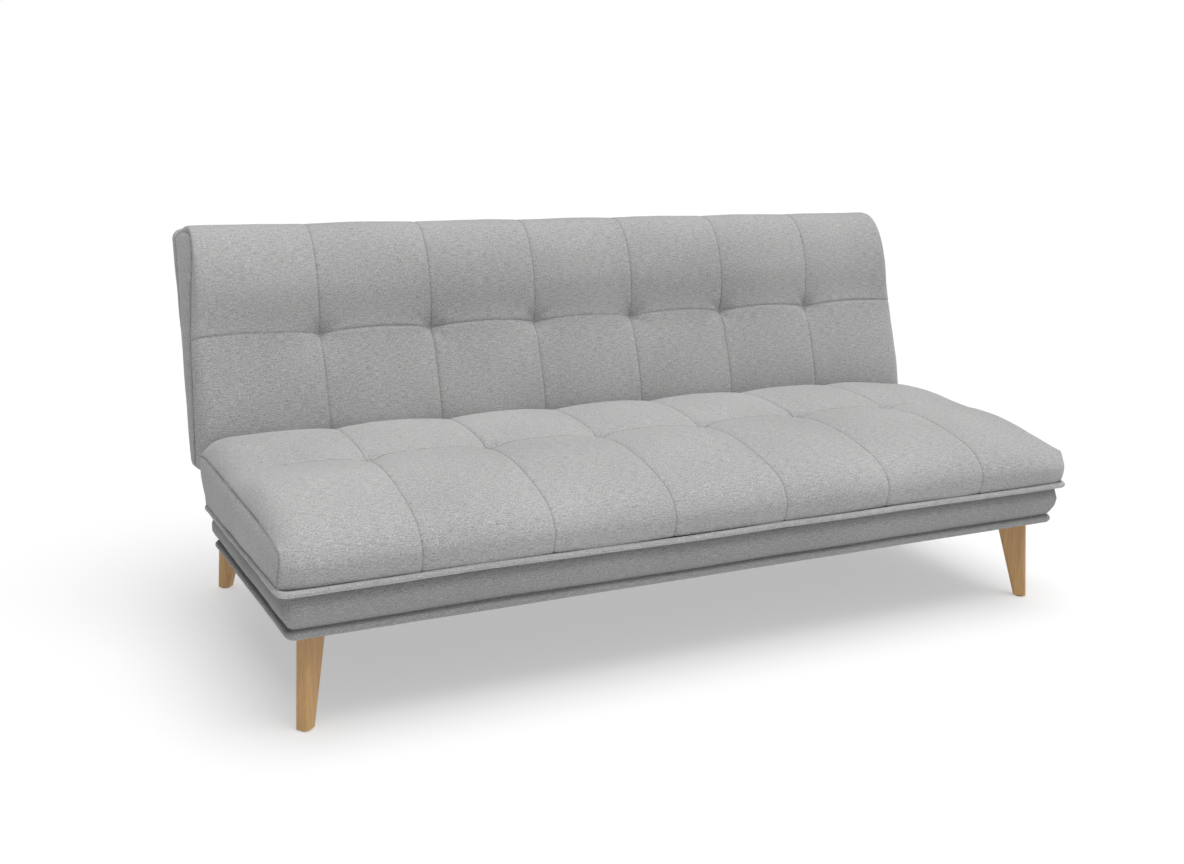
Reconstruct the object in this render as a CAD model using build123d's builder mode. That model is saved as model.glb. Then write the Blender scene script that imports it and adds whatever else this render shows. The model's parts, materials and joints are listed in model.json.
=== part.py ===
"""Three-seat click-clack sofa bed: a fixed seat unit and a reclining back unit on a steel base.

Millimetres. X runs across the width, +Y towards the back, +Z up. The origin is on the floor,
under the middle of the sofa. The seat and back units are built alike: a timber frame with
sprung slats, a foam pad, a tufted cover with piping round its foot, and an upholstered band.
"""
from build123d import *
from math import cos, radians, sin
import os

os.makedirs("parts", exist_ok=True)

# ------------------------------------------------------------------ driving dimensions
SEAT_TOP = 425  # height of the sitting face
UNIT_DEPTH = 236  # seat or back unit, from its underside to its face
PIVOT_Y = 203  # the line that the back turns about
PIVOT_Z = 366.4
BACK_TILT = 13  # degrees from upright, in the sitting position
RECLINE = 77  # degrees from the sitting position to flat

PAD_HALF_WIDTH = 895
PIPING_HALF_WIDTH = 884
BAND_TOP_HALF_WIDTH = 872
BAND_FOOT_HALF_WIDTH = 860

SEAT_FRONT = -474  # front of the seat pad
BACK_END = 492  # upper end of the back pad, measured up the back from the pivot
FOOT_X, FOOT_Y_FRONT, FOOT_Y_REAR = 832, -404, 394

BASE_TOP = 184
TUBE = 25  # square steel tube of the base
TUBE_WALL = 1.5
TIMBER = 24  # thickness of the frame rails

# Heights inside a unit, measured up from its underside (the same for seat and back).
RAIL_FOOT, RAIL_TOP = 5, 75
SLAT_FOOT, SLAT_TOP = 77, 85
FOAM_FOOT = 87.5
PIPING_FOOT, PIPING_TOP = 81, 94
WELT_FOOT, WELT_TOP = -2, 14

COVER = 3  # thickness of an upholstered skin
GAP = 0.3  # between foam and cover

UNDERSIDE_Z = SEAT_TOP - UNIT_DEPTH
FACE_OVER_PIVOT = SEAT_TOP - PIVOT_Z
UP_Y, UP_Z = sin(radians(BACK_TILT)), cos(radians(BACK_TILT))
SIDES = (("left", -1), ("right", 1))


# ------------------------------------------------------------------ planes of the two units
def seat_level(height):
    """Horizontal plane at a height inside the seat unit; its sketch runs in X and Y."""
    return Plane.XY.offset(UNDERSIDE_Z + height)


def seat_side(x):
    """Upright plane across the seat unit; its sketch runs in Y and in height."""
    return Plane(origin=(x, 0, UNDERSIDE_Z), x_dir=(0, 1, 0), z_dir=(1, 0, 0))


def back_level(height):
    """Plane parallel to the back's face; its sketch runs in X and up the back from the pivot."""
    pivot = Plane(origin=(0, PIVOT_Y, PIVOT_Z), x_dir=(1, 0, 0), z_dir=(0, -UP_Z, UP_Y))
    return pivot.offset(height - UNIT_DEPTH + FACE_OVER_PIVOT)


def back_side(x):
    """Plane across the back unit; its sketch runs up the back and in height from its rear."""
    foot = back_level(0).origin
    return Plane(origin=(x, foot.Y, foot.Z), x_dir=(0, UP_Y, UP_Z), z_dir=(1, 0, 0))


def write(piece, label):
    """Name a finished piece and write it as its own STEP file."""
    piece.part.label = label
    export_step(piece.part, f"parts/{label}.step")


# ------------------------------------------------------------------ legs and their fittings
LEG_TOP = 180
LEG_THICKNESS = 27
LEG_FOOT_HALF = 14  # half the width of the fin at the floor end
LEG_TOP_OUTER, LEG_TOP_INNER = 0, -65  # edges of the fin at its top, along the diagonal
GLIDE_HEIGHT = 3
GLIDE_RADIUS = 11
FIN_EDGE_ROUND = 7
PLATE_SIZE = (74, 71)
BOLT_RADIUS = 4
BOLT_FIT = 0.05  # how much larger a bolt hole is than its bolt, on the radius
HANGER_DEPTH = 40  # how far the hanger bolt goes into the leg
NUT_RADIUS, NUT_HEIGHT = 7.5, 2.8
LEG_CENTRE = (LEG_TOP_OUTER + LEG_TOP_INNER) / 2 * sin(radians(45))


def leg_corners():
    """Yield each leg's name, its foot and the outward signs of its diagonal."""
    for depth, foot_y, sign_y in (("front", FOOT_Y_FRONT, -1), ("rear", FOOT_Y_REAR, 1)):
        for side, sign_x in SIDES:
            yield f"leg_{depth}_{side}", sign_x * FOOT_X, foot_y, sign_x, sign_y


def leg_tops():
    """Centres of the four leg tops in plan."""
    return [(x + sx * LEG_CENTRE, y + sy * LEG_CENTRE) for _, x, y, sx, sy in leg_corners()]


for name, foot_x, foot_y, sign_x, sign_y in leg_corners():
    outward = Vector(sign_x, sign_y, 0).normalized()
    fin_plane = Plane(origin=(foot_x, foot_y, 0), x_dir=outward, z_dir=outward.cross(Vector(0, 0, 1)))
    with BuildPart() as leg:
        with BuildSketch(fin_plane):
            with BuildLine():
                Polyline(
                    (-LEG_FOOT_HALF, GLIDE_HEIGHT),
                    (LEG_FOOT_HALF, GLIDE_HEIGHT),
                    (LEG_TOP_OUTER, LEG_TOP),
                    (LEG_TOP_INNER, LEG_TOP),
                    close=True,
                )
            make_face()
        extrude(amount=LEG_THICKNESS / 2, both=True)
        fillet(leg.edges().sort_by(SortBy.LENGTH)[-4:], radius=FIN_EDGE_ROUND)
        top_centre = (foot_x + sign_x * LEG_CENTRE, foot_y + sign_y * LEG_CENTRE)
        with BuildSketch(Plane.XY.offset(LEG_TOP)):
            with Locations(top_centre):
                Circle(BOLT_RADIUS + BOLT_FIT)
        extrude(amount=-HANGER_DEPTH, mode=Mode.SUBTRACT)
    write(leg, name)

with BuildPart() as foot_glides:
    with BuildSketch(Plane.XY):
        with Locations(*[(x, y) for _, x, y, _, _ in leg_corners()]):
            Circle(GLIDE_RADIUS)
    extrude(amount=GLIDE_HEIGHT)
    fillet(foot_glides.faces().group_by(Axis.Z)[0].edges(), radius=GLIDE_HEIGHT / 3)
write(foot_glides, "foot_glides")

with BuildPart() as leg_mounting_plates:
    with BuildSketch(Plane.XY.offset(LEG_TOP)):
        for _, foot_x, foot_y, sign_x, sign_y in leg_corners():
            with Locations((foot_x + sign_x * LEG_CENTRE, foot_y + sign_y * (LEG_CENTRE - 0.5))):
                Rectangle(*PLATE_SIZE)
        with Locations(*leg_tops()):
            Circle(BOLT_RADIUS + BOLT_FIT, mode=Mode.SUBTRACT)
    extrude(amount=BASE_TOP - LEG_TOP)
write(leg_mounting_plates, "leg_mounting_plates")

with BuildPart() as leg_hanger_bolts:
    with BuildSketch(Plane.XY.offset(LEG_TOP - HANGER_DEPTH)):
        with Locations(*leg_tops()):
            Circle(BOLT_RADIUS)
    extrude(amount=HANGER_DEPTH + BASE_TOP - LEG_TOP + NUT_HEIGHT - 0.3)
write(leg_hanger_bolts, "leg_hanger_bolts")

with BuildPart() as leg_lock_nuts:
    with BuildSketch(Plane.XY.offset(BASE_TOP)):
        with Locations(*leg_tops()):
            RegularPolygon(radius=NUT_RADIUS, side_count=6)
            Circle(BOLT_RADIUS + BOLT_FIT, mode=Mode.SUBTRACT)
    extrude(amount=NUT_HEIGHT)
write(leg_lock_nuts, "leg_lock_nuts")

# ------------------------------------------------------------------ steel base
BASE_RAIL_X = 832.5  # centre of a side rail
BASE_FRONT, BASE_REAR = -345, 335  # ends of the side rails
CROSS_RAIL_Y = {"front": BASE_FRONT + TUBE / 2, "middle": 102.5, "rear": BASE_REAR - TUBE / 2}

for side, sign in SIDES:
    with BuildPart() as base_side_rail:
        with BuildSketch(Plane.XZ.offset(-BASE_REAR)):
            with Locations((sign * BASE_RAIL_X, BASE_TOP - TUBE / 2)):
                Rectangle(TUBE, TUBE)
                Rectangle(TUBE - 2 * TUBE_WALL, TUBE - 2 * TUBE_WALL, mode=Mode.SUBTRACT)
        extrude(amount=BASE_REAR - BASE_FRONT)
    write(base_side_rail, f"base_side_rail_{side}")

cross_rail_half = BASE_RAIL_X - TUBE / 2
for place, rail_y in CROSS_RAIL_Y.items():
    with BuildPart() as base_cross_rail:
        with BuildSketch(Plane.YZ.offset(-cross_rail_half)):
            with Locations((rail_y, BASE_TOP - TUBE / 2)):
                Rectangle(TUBE, TUBE)
                Rectangle(TUBE - 2 * TUBE_WALL, TUBE - 2 * TUBE_WALL, mode=Mode.SUBTRACT)
        extrude(amount=2 * cross_rail_half)
    write(base_cross_rail, f"base_{place}_rail")

CAP_PLUG = TUBE - 2 * TUBE_WALL - 0.1
CAP_PLUG_LENGTH, CAP_FLANGE = 12, 2.5
CAP_FLANGE_HEIGHT = TUBE - (BASE_TOP - LEG_TOP) - 0.5
with BuildPart() as base_end_caps:
    for sign_y, rail_end in ((-1, BASE_FRONT), (1, BASE_REAR)):
        with BuildSketch(Plane.XZ.offset(-rail_end)):
            with Locations((-BASE_RAIL_X, BASE_TOP - TUBE / 2), (BASE_RAIL_X, BASE_TOP - TUBE / 2)):
                Rectangle(CAP_PLUG, CAP_PLUG)
        extrude(amount=sign_y * CAP_PLUG_LENGTH)
        with BuildSketch(Plane.XZ.offset(-rail_end)):
            with Locations(*[(s * BASE_RAIL_X, BASE_TOP - TUBE + CAP_FLANGE_HEIGHT / 2) for s in (-1, 1)]):
                Rectangle(TUBE, CAP_FLANGE_HEIGHT)
        extrude(amount=-sign_y * CAP_FLANGE)
write(base_end_caps, "base_end_caps")

BUMPER_X = (-650, -220, 220, 650)
BUMPER_RADIUS, BUMPER_ROUND = 10, 2
BUMPER_HEIGHT = UNDERSIDE_Z - BASE_TOP - 0.5
with BuildPart() as rest_bumpers:
    with BuildSketch(Plane.XY.offset(BASE_TOP)):
        with Locations(*[(x, CROSS_RAIL_Y["rear"]) for x in BUMPER_X]):
            Circle(BUMPER_RADIUS)
    extrude(amount=BUMPER_HEIGHT)
    fillet(rest_bumpers.faces().group_by(Axis.Z)[-1].edges(), radius=BUMPER_ROUND)
write(rest_bumpers, "rest_bumpers")

# ------------------------------------------------------------------ seat frame
SEAT_RAIL_OUTER = 854
SEAT_RAIL_INNER = 823  # the hinge arm lies against this face
SEAT_RAIL_FRONT, SEAT_RAIL_REAR = -440, 124
DUST_COVER = 1.5
SEAT_RAIL_FOOT = BASE_TOP + DUST_COVER - UNDERSIDE_Z
ARM_THICKNESS = 5
CENTRE_RAIL_X = (-250, 250)
SLAT_COUNT, SLAT_PITCH, SLAT_WIDTH = 12, 125, 53
HOLDER_HALF_WIDTH, HOLDER_HALF_LENGTH = 32, 12
HOLDER_INSET = 10  # from a slat's end to the middle of its holder
ARM_BOLTS_Y, ARM_BOLTS_Z = (56, 86), 228
FIXING_RADIUS = 4


def plank(plane, x_from, x_to, along_from, along_to, height):
    """A straight board on one of a unit's level planes, returned for adding to a part."""
    with BuildPart() as board:
        with BuildSketch(plane):
            with Locations(((x_from + x_to) / 2, (along_from + along_to) / 2)):
                Rectangle(abs(x_to - x_from), along_to - along_from)
        extrude(amount=height)
    return board.part


for side, sign in SIDES:
    with BuildPart() as seat_side_rail:
        add(
            plank(
                seat_level(SEAT_RAIL_FOOT),
                sign * SEAT_RAIL_INNER,
                sign * SEAT_RAIL_OUTER,
                SEAT_RAIL_FRONT,
                SEAT_RAIL_REAR,
                RAIL_TOP - SEAT_RAIL_FOOT,
            )
        )
        with BuildSketch(Plane.YZ.offset(sign * SEAT_RAIL_INNER)):
            with Locations(*[(y, ARM_BOLTS_Z) for y in ARM_BOLTS_Y]):
                Circle(FIXING_RADIUS + BOLT_FIT)
        extrude(amount=sign * (SEAT_RAIL_OUTER - SEAT_RAIL_INNER), mode=Mode.SUBTRACT)
    write(seat_side_rail, f"seat_frame_{side}_rail")

seat_cross_rails = {
    "front": (SEAT_RAIL_INNER, SEAT_RAIL_FRONT, SEAT_RAIL_FRONT + TIMBER),
    "rear": (SEAT_RAIL_INNER - ARM_THICKNESS - 0.5, SEAT_RAIL_REAR - TIMBER, SEAT_RAIL_REAR),
}
for place, (half, y_from, y_to) in seat_cross_rails.items():
    with BuildPart() as seat_cross_rail:
        add(plank(seat_level(SEAT_RAIL_FOOT), -half, half, y_from, y_to, RAIL_TOP - SEAT_RAIL_FOOT))
    write(seat_cross_rail, f"seat_frame_{place}_rail")

with BuildPart() as seat_centre_rails:
    for x in CENTRE_RAIL_X:
        add(
            plank(
                seat_level(SEAT_RAIL_FOOT),
                x - TIMBER / 2,
                x + TIMBER / 2,
                SEAT_RAIL_FRONT + TIMBER,
                SEAT_RAIL_REAR - TIMBER,
                RAIL_TOP - SEAT_RAIL_FOOT,
            )
        )
write(seat_centre_rails, "seat_frame_centre_rails")


# ------------------------------------------------------------------ sprung slats and holders
def slat_places():
    """X of each slat, spread evenly about the middle."""
    return [SLAT_PITCH * (i - (SLAT_COUNT - 1) / 2) for i in range(SLAT_COUNT)]


def write_slats(unit, level, along_from, along_to):
    """Sprung slats that run from rail to rail, and the rubber holders on their ends."""
    with BuildPart() as slats:
        for x in slat_places():
            add(plank(level(SLAT_FOOT), x - SLAT_WIDTH / 2, x + SLAT_WIDTH / 2, along_from, along_to,
                      SLAT_TOP - SLAT_FOOT))
    write(slats, f"{unit}_slats")
    with BuildPart() as holders:
        for x in slat_places():
            for centre in (along_from + HOLDER_INSET, along_to - HOLDER_INSET):
                add(plank(level(RAIL_TOP), x - HOLDER_HALF_WIDTH, x + HOLDER_HALF_WIDTH,
                          centre - HOLDER_HALF_LENGTH, centre + HOLDER_HALF_LENGTH,
                          FOAM_FOOT - RAIL_TOP - 0.5))
        add(slats.part, mode=Mode.SUBTRACT)
    write(holders, f"{unit}_slat_holders")


write_slats("seat", seat_level, SEAT_RAIL_FRONT + 2, SEAT_RAIL_REAR - 2)


# ------------------------------------------------------------------ pad outlines
FRONT_ROUND = (174, 112)  # the seat's front edge: a long, low quarter ellipse
TOP_ROUND = (95, 110)  # the back's upper edge, fuller
SEAT_REAR_FOOT, SEAT_REAR_WAIST, SEAT_REAR_TOP = 130, 134, 152
SEAT_WAIST_HEIGHT = 151
SEAT_REAR_ROUND = 14
BACK_LOWER_ROUND = 30
BACK_LOWER_END = -40
BACK_FLANGE_END = -12


def seat_pad_outline(inset=0):
    """Section of the seat pad: slanted rear face, flat top, rounded front."""
    across, down = (size - inset for size in FRONT_ROUND)
    front_end, top, foot = SEAT_FRONT + inset, UNIT_DEPTH - inset, PIPING_TOP + inset
    with BuildSketch() as outline:
        with BuildLine():
            front = EllipticalCenterArc((front_end + across, top - down), across, down, 90, arc_size=90)
            Polyline(
                front @ 0,
                (SEAT_REAR_TOP - inset, top),
                (SEAT_REAR_WAIST - inset, SEAT_WAIST_HEIGHT),
                (SEAT_REAR_FOOT - inset, foot),
                (front_end, foot),
                front @ 1,
            )
        make_face()
        rear_top = outline.vertices().sort_by(Axis.X)[-1]
        fillet(rear_top, radius=SEAT_REAR_ROUND - inset)
    return outline.sketch


def back_pad_outline(inset=0):
    """Section of the back pad: rounded lower corner, straight face, rounded upper end."""
    across, down = (size - inset for size in TOP_ROUND)
    upper_end, top, foot = BACK_END - inset, UNIT_DEPTH - inset, PIPING_TOP + inset
    lower_end, lower_round = BACK_LOWER_END + inset, BACK_LOWER_ROUND - inset
    with BuildSketch() as outline:
        with BuildLine():
            upper = EllipticalCenterArc((upper_end - across, top - down), across, down, 0, arc_size=90)
            lower = CenterArc((lower_end + lower_round, top - lower_round), lower_round, 90, 90)
            Line(upper @ 1, lower @ 0)
            Polyline(
                lower @ 1,
                (BACK_FLANGE_END + inset, foot),
                (upper_end, foot),
                upper @ 0,
            )
        make_face()
    return outline.sketch


# ------------------------------------------------------------------ room for the hinge in the back
POCKET_X = (806, 838)
POCKET_ALONG = (-70, 100)
POCKET_FOOT = WELT_TOP + 0.5
POCKET_TOP = UNIT_DEPTH - FACE_OVER_PIVOT + 45


def hinge_pockets():
    """The two slots in the lower end of the back unit that the hinge arms swing through."""
    with BuildPart() as pockets:
        for _, sign in SIDES:
            add(plank(back_level(POCKET_FOOT), sign * POCKET_X[0], sign * POCKET_X[1], *POCKET_ALONG,
                      POCKET_TOP - POCKET_FOOT))
    return pockets.part


# ------------------------------------------------------------------ foam and covers
def write_foam(unit, outline, side_plane, level, plinth, cut=None):
    """Foam block that fills the cover, with a lower plinth that rests on the slats."""
    half = PAD_HALF_WIDTH - COVER - GAP
    with BuildPart() as foam:
        with BuildSketch(side_plane(-half)):
            add(outline(COVER + GAP))
        extrude(amount=2 * half)
        add(plank(level(FOAM_FOOT), -BAND_FOOT_HALF_WIDTH, BAND_FOOT_HALF_WIDTH, *plinth,
                  PIPING_TOP + COVER + 1 - FOAM_FOOT))
        if cut:
            add(cut, mode=Mode.SUBTRACT)
    write(foam, f"{unit}_foam")


def write_cover(unit, outline, side_plane, level, extent, cut=None):
    """Tufted cover over the foam, open at its foot."""
    inner_half = PAD_HALF_WIDTH - COVER
    with BuildPart() as cover:
        with BuildSketch(side_plane(-PAD_HALF_WIDTH)):
            add(outline())
        extrude(amount=2 * PAD_HALF_WIDTH)
        with BuildSketch(side_plane(-inner_half)):
            add(outline(COVER))
        extrude(amount=2 * inner_half, mode=Mode.SUBTRACT)
        add(plank(level(PIPING_TOP - 1), -inner_half, inner_half, *extent, COVER + 2), mode=Mode.SUBTRACT)
        if cut:
            add(cut, mode=Mode.SUBTRACT)
    write(cover, f"{unit}_cover")


def ring(plane, outer, inner, height):
    """Flat rectangular ring; outer and inner are (half width, from, to)."""
    with BuildPart() as frame:
        add(plank(plane, -outer[0], outer[0], outer[1], outer[2], height))
        add(plank(plane, -inner[0], inner[0], inner[1], inner[2], height), mode=Mode.SUBTRACT)
    return frame.part


def sleeve(level, foot, top, wall):
    """Upright band that widens from its foot to its top; foot and top are (half width, from, to)."""
    with BuildPart() as band:
        for inset, mode in ((0, Mode.ADD), (wall, Mode.SUBTRACT)):
            for height, (half, start, end) in ((WELT_TOP, foot), (PIPING_FOOT, top)):
                with BuildSketch(level(height)):
                    with Locations((0, (start + end) / 2)):
                        Rectangle(2 * (half - inset), end - start - 2 * inset)
            loft(mode=mode)
    return band.part


PIPING_LAP = 4  # how far the piping reaches in under the pad, past the band's top
WELT_LIP, WELT_LAP = 2, 5  # how far the bottom welt stands out from the band's foot, and reaches in


def write_trim(unit, level, band_foot, band_top, piping, cut=None):
    """Piping, band and bottom welt of one unit."""
    band_inner = (band_top[0] - PIPING_LAP, band_top[1] + PIPING_LAP, band_top[2] - PIPING_LAP)
    with BuildPart() as piping_ring:
        add(ring(level(PIPING_FOOT), piping, band_inner, PIPING_TOP - PIPING_FOOT))
        if cut:
            add(cut, mode=Mode.SUBTRACT)
    write(piping_ring, f"{unit}_piping")
    with BuildPart() as band_cover:
        add(sleeve(level, band_foot, band_top, COVER))
        if cut:
            add(cut, mode=Mode.SUBTRACT)
    write(band_cover, f"{unit}_band_cover")
    welt_outer = (band_foot[0] + WELT_LIP, band_foot[1] - WELT_LIP, band_foot[2] + WELT_LIP)
    welt_inner = (band_foot[0] - WELT_LAP, band_foot[1] + WELT_LAP, band_foot[2] - WELT_LAP)
    with BuildPart() as welt:
        add(ring(level(WELT_FOOT), welt_outer, welt_inner, WELT_TOP - WELT_FOOT))
    write(welt, f"{unit}_bottom_welt")


seat_band_foot = (BAND_FOOT_HALF_WIDTH, SEAT_FRONT + 28, 130)
seat_band_top = (BAND_TOP_HALF_WIDTH, SEAT_FRONT + 10, 132)
seat_piping_outline = (PIPING_HALF_WIDTH, SEAT_FRONT + 1, 138)
ARM_SLOT_X, ARM_SLOT_Y, ARM_SLOT_Z = (816, 825), (120, 140), (205, 253)
with BuildPart() as arm_slots:
    for _, sign in SIDES:
        add(plank(Plane.XY.offset(ARM_SLOT_Z[0]), sign * ARM_SLOT_X[0], sign * ARM_SLOT_X[1],
                  *ARM_SLOT_Y, ARM_SLOT_Z[1] - ARM_SLOT_Z[0]))

write_foam("seat", seat_pad_outline, seat_side, seat_level, (SEAT_FRONT + 18, 122))
write_cover("seat", seat_pad_outline, seat_side, seat_level, (SEAT_FRONT + COVER, 127))
write_trim("seat", seat_level, seat_band_foot, seat_band_top, seat_piping_outline, arm_slots.part)

with BuildPart() as seat_dust_cover:
    add(plank(Plane.XY.offset(BASE_TOP), -SEAT_RAIL_OUTER, SEAT_RAIL_OUTER, SEAT_RAIL_FRONT,
              SEAT_RAIL_REAR, DUST_COVER))
    with BuildSketch(Plane.XY.offset(BASE_TOP)):
        with Locations(*[(x, y) for x, y in leg_tops() if y < 0]):
            Circle(NUT_RADIUS + 2.5)
    extrude(amount=DUST_COVER, mode=Mode.SUBTRACT)
write(seat_dust_cover, "seat_dust_cover")

# ------------------------------------------------------------------ back frame and its upholstery
BACK_RAIL_INNER, BACK_RAIL_OUTER = 830, 854
BACK_RAIL_START, BACK_RAIL_END = 8, 452
LOWER_RAIL_START = 24
HINGE_PLATE_THICKNESS = 5
BACK_RAIL_HEIGHT = RAIL_TOP - RAIL_FOOT
PIVOT_HEIGHT = UNIT_DEPTH - FACE_OVER_PIVOT
PLATE_BOLTS = ((66, 22), (66, 56), (88, 39))

for side, sign in SIDES:
    with BuildPart() as back_side_rail:
        add(plank(back_level(RAIL_FOOT), sign * BACK_RAIL_INNER, sign * BACK_RAIL_OUTER,
                  BACK_RAIL_START, BACK_RAIL_END, BACK_RAIL_HEIGHT))
        with BuildSketch(back_side(sign * BACK_RAIL_INNER)):
            with Locations(*PLATE_BOLTS):
                Circle(FIXING_RADIUS + BOLT_FIT)
        extrude(amount=sign * TIMBER, mode=Mode.SUBTRACT)
    write(back_side_rail, f"back_frame_{side}_rail")

back_cross_rails = {
    "lower": (BACK_RAIL_INNER - HINGE_PLATE_THICKNESS - 0.5, LOWER_RAIL_START, LOWER_RAIL_START + TIMBER),
    "upper": (BACK_RAIL_INNER, BACK_RAIL_END - TIMBER, BACK_RAIL_END),
}
for place, (half, start, end) in back_cross_rails.items():
    with BuildPart() as back_cross_rail:
        add(plank(back_level(RAIL_FOOT), -half, half, start, end, BACK_RAIL_HEIGHT))
    write(back_cross_rail, f"back_frame_{place}_rail")

with BuildPart() as back_centre_rails:
    for x in CENTRE_RAIL_X:
        add(plank(back_level(RAIL_FOOT), x - TIMBER / 2, x + TIMBER / 2, LOWER_RAIL_START + TIMBER,
                  BACK_RAIL_END - TIMBER, BACK_RAIL_HEIGHT))
write(back_centre_rails, "back_frame_centre_rails")

write_slats("back", back_level, LOWER_RAIL_START + 2, BACK_RAIL_END - 2)

back_band_foot = (BAND_FOOT_HALF_WIDTH, 3, BACK_END - 28)
back_band_top = (BAND_TOP_HALF_WIDTH, -6, BACK_END - 10)
back_piping_outline = (PIPING_HALF_WIDTH, -20, BACK_END - 1)
pockets = hinge_pockets()

write_foam("back", back_pad_outline, back_side, back_level, (0, BACK_END - 18), pockets)
write_cover("back", back_pad_outline, back_side, back_level, (BACK_FLANGE_END + COVER, BACK_END - COVER),
            pockets)
write_trim("back", back_level, back_band_foot, back_band_top, back_piping_outline, pockets)

panel_inset = WELT_LAP + 0.5
with BuildPart() as back_rear_panel:
    add(plank(back_level(0), -BAND_FOOT_HALF_WIDTH + panel_inset, BAND_FOOT_HALF_WIDTH - panel_inset,
              back_band_foot[1] + panel_inset, back_band_foot[2] - panel_inset, COVER))
write(back_rear_panel, "back_rear_panel")

# ------------------------------------------------------------------ click-clack fittings
ARM_INNER = SEAT_RAIL_INNER - ARM_THICKNESS
ARM_HALF_WIDTH = 13
ARM_FOOT_Z = (206, 250)
ARM_FOOT_START = 40
HEAD_RADIUS, NOTCH_DEPTH, NOTCH_COUNT = 38, 4, 6
PIVOT_RADIUS = 6
PAWL_PIN = (58, PIVOT_HEIGHT - 34)  # up the back, and height in the back unit
PAWL_PIN_RADIUS = 4
PAWL_TIP_CLEARANCE = 0.5
PAWL_TIP_RADIUS = 3
PAWL_EYE_RADIUS = 9
PLATE_PIVOT_RADIUS, PLATE_PIN_RADIUS = 20, 14  # the plate's rounded ends about the pivot and the pin
PLATE_PAD_CENTRE, PLATE_PAD_SIZE = (60, 39), (80, 54)  # its straight part, on the back's side rail
NOTCH_WIDTH, NOTCH_SLANT, FIRST_NOTCH = 6, 18, 2  # slant and first place in degrees
FACE_GAP = 0.2  # between parts that turn on one another

for side, sign in SIDES:
    with BuildPart() as seat_arm:
        with BuildSketch(Plane.YZ.offset(sign * ARM_INNER)):
            with Locations(((ARM_FOOT_START + PIVOT_Y + ARM_HALF_WIDTH) / 2, sum(ARM_FOOT_Z) / 2)):
                Rectangle(PIVOT_Y + ARM_HALF_WIDTH - ARM_FOOT_START, ARM_FOOT_Z[1] - ARM_FOOT_Z[0])
            with Locations((PIVOT_Y, (ARM_FOOT_Z[0] + PIVOT_Z) / 2)):
                Rectangle(2 * ARM_HALF_WIDTH, PIVOT_Z - ARM_FOOT_Z[0])
            with Locations((PIVOT_Y, PIVOT_Z)):
                Circle(HEAD_RADIUS)
                with PolarLocations(HEAD_RADIUS, NOTCH_COUNT, start_angle=FIRST_NOTCH,
                                    angular_range=RECLINE, endpoint=True):
                    Rectangle(2 * NOTCH_DEPTH, NOTCH_WIDTH, rotation=NOTCH_SLANT, mode=Mode.SUBTRACT)
                Circle(PIVOT_RADIUS + BOLT_FIT, mode=Mode.SUBTRACT)
            with Locations(*[(y, ARM_BOLTS_Z) for y in ARM_BOLTS_Y]):
                Circle(FIXING_RADIUS + BOLT_FIT, mode=Mode.SUBTRACT)
        extrude(amount=sign * ARM_THICKNESS)
    write(seat_arm, f"seat_hinge_arm_{side}")

    with BuildPart() as back_plate:
        with BuildSketch(back_side(sign * (BACK_RAIL_INNER - HINGE_PLATE_THICKNESS))):
            with Locations((0, PIVOT_HEIGHT)):
                Circle(PLATE_PIVOT_RADIUS)
            with Locations(PAWL_PIN):
                Circle(PLATE_PIN_RADIUS)
            with Locations(PLATE_PAD_CENTRE):
                Rectangle(*PLATE_PAD_SIZE)
            make_hull()
            with Locations((0, PIVOT_HEIGHT)):
                Circle(PIVOT_RADIUS, mode=Mode.SUBTRACT)
            with Locations(PAWL_PIN):
                Circle(PAWL_PIN_RADIUS, mode=Mode.SUBTRACT)
            with Locations(*PLATE_BOLTS):
                Circle(FIXING_RADIUS + BOLT_FIT, mode=Mode.SUBTRACT)
        extrude(amount=sign * HINGE_PLATE_THICKNESS)
    write(back_plate, f"back_hinge_plate_{side}")

    with BuildPart() as pawl:
        with BuildSketch(back_side(sign * (ARM_INNER + FACE_GAP))):
            with Locations((HEAD_RADIUS + PAWL_TIP_CLEARANCE + PAWL_TIP_RADIUS, PIVOT_HEIGHT)):
                Circle(PAWL_TIP_RADIUS)
            with Locations(PAWL_PIN):
                Circle(PAWL_EYE_RADIUS)
            make_hull()
            with Locations(PAWL_PIN):
                Circle(PAWL_PIN_RADIUS + BOLT_FIT, mode=Mode.SUBTRACT)
        extrude(amount=sign * (ARM_THICKNESS - 2 * FACE_GAP))
    write(pawl, f"pawl_{side}")


def discs(side_plane, sign, centre, steps):
    """Stack of round steps along X, each (from, to, radius), on one centre."""
    with BuildPart() as stack:
        for start, end, radius in steps:
            with BuildSketch(side_plane(sign * start)):
                with Locations(centre):
                    Circle(radius)
            extrude(amount=sign * (end - start))
    return stack.part


plate_inner = BACK_RAIL_INNER - HINGE_PLATE_THICKNESS
pivot_centre = (0, PIVOT_HEIGHT)
PIVOT_HEAD_RADIUS, PIVOT_HEAD, PIVOT_NUT_RADIUS, WASHER_RADIUS = 11, 5, 10, 13
WASHER_FIT = 0.2
PIN_HEAD_RADIUS, PIN_HEAD, PIN_SHOULDER_RADIUS = 9, 2, 7
FIXING_HEAD_RADIUS, FIXING_HEAD, FIXING_NUT_RADIUS, FIXING_NUT = 7, 6, 8, 2
with BuildPart() as pivot_bolts:
    for _, sign in SIDES:
        head_end = ARM_INNER - FACE_GAP
        add(discs(back_side, sign, pivot_centre,
                  [(head_end - PIVOT_HEAD, head_end, PIVOT_HEAD_RADIUS),
                   (head_end, BACK_RAIL_INNER, PIVOT_RADIUS),
                   (BACK_RAIL_INNER, BACK_RAIL_INNER + PIVOT_HEAD, PIVOT_NUT_RADIUS)]))
write(pivot_bolts, "pivot_bolts")

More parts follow.
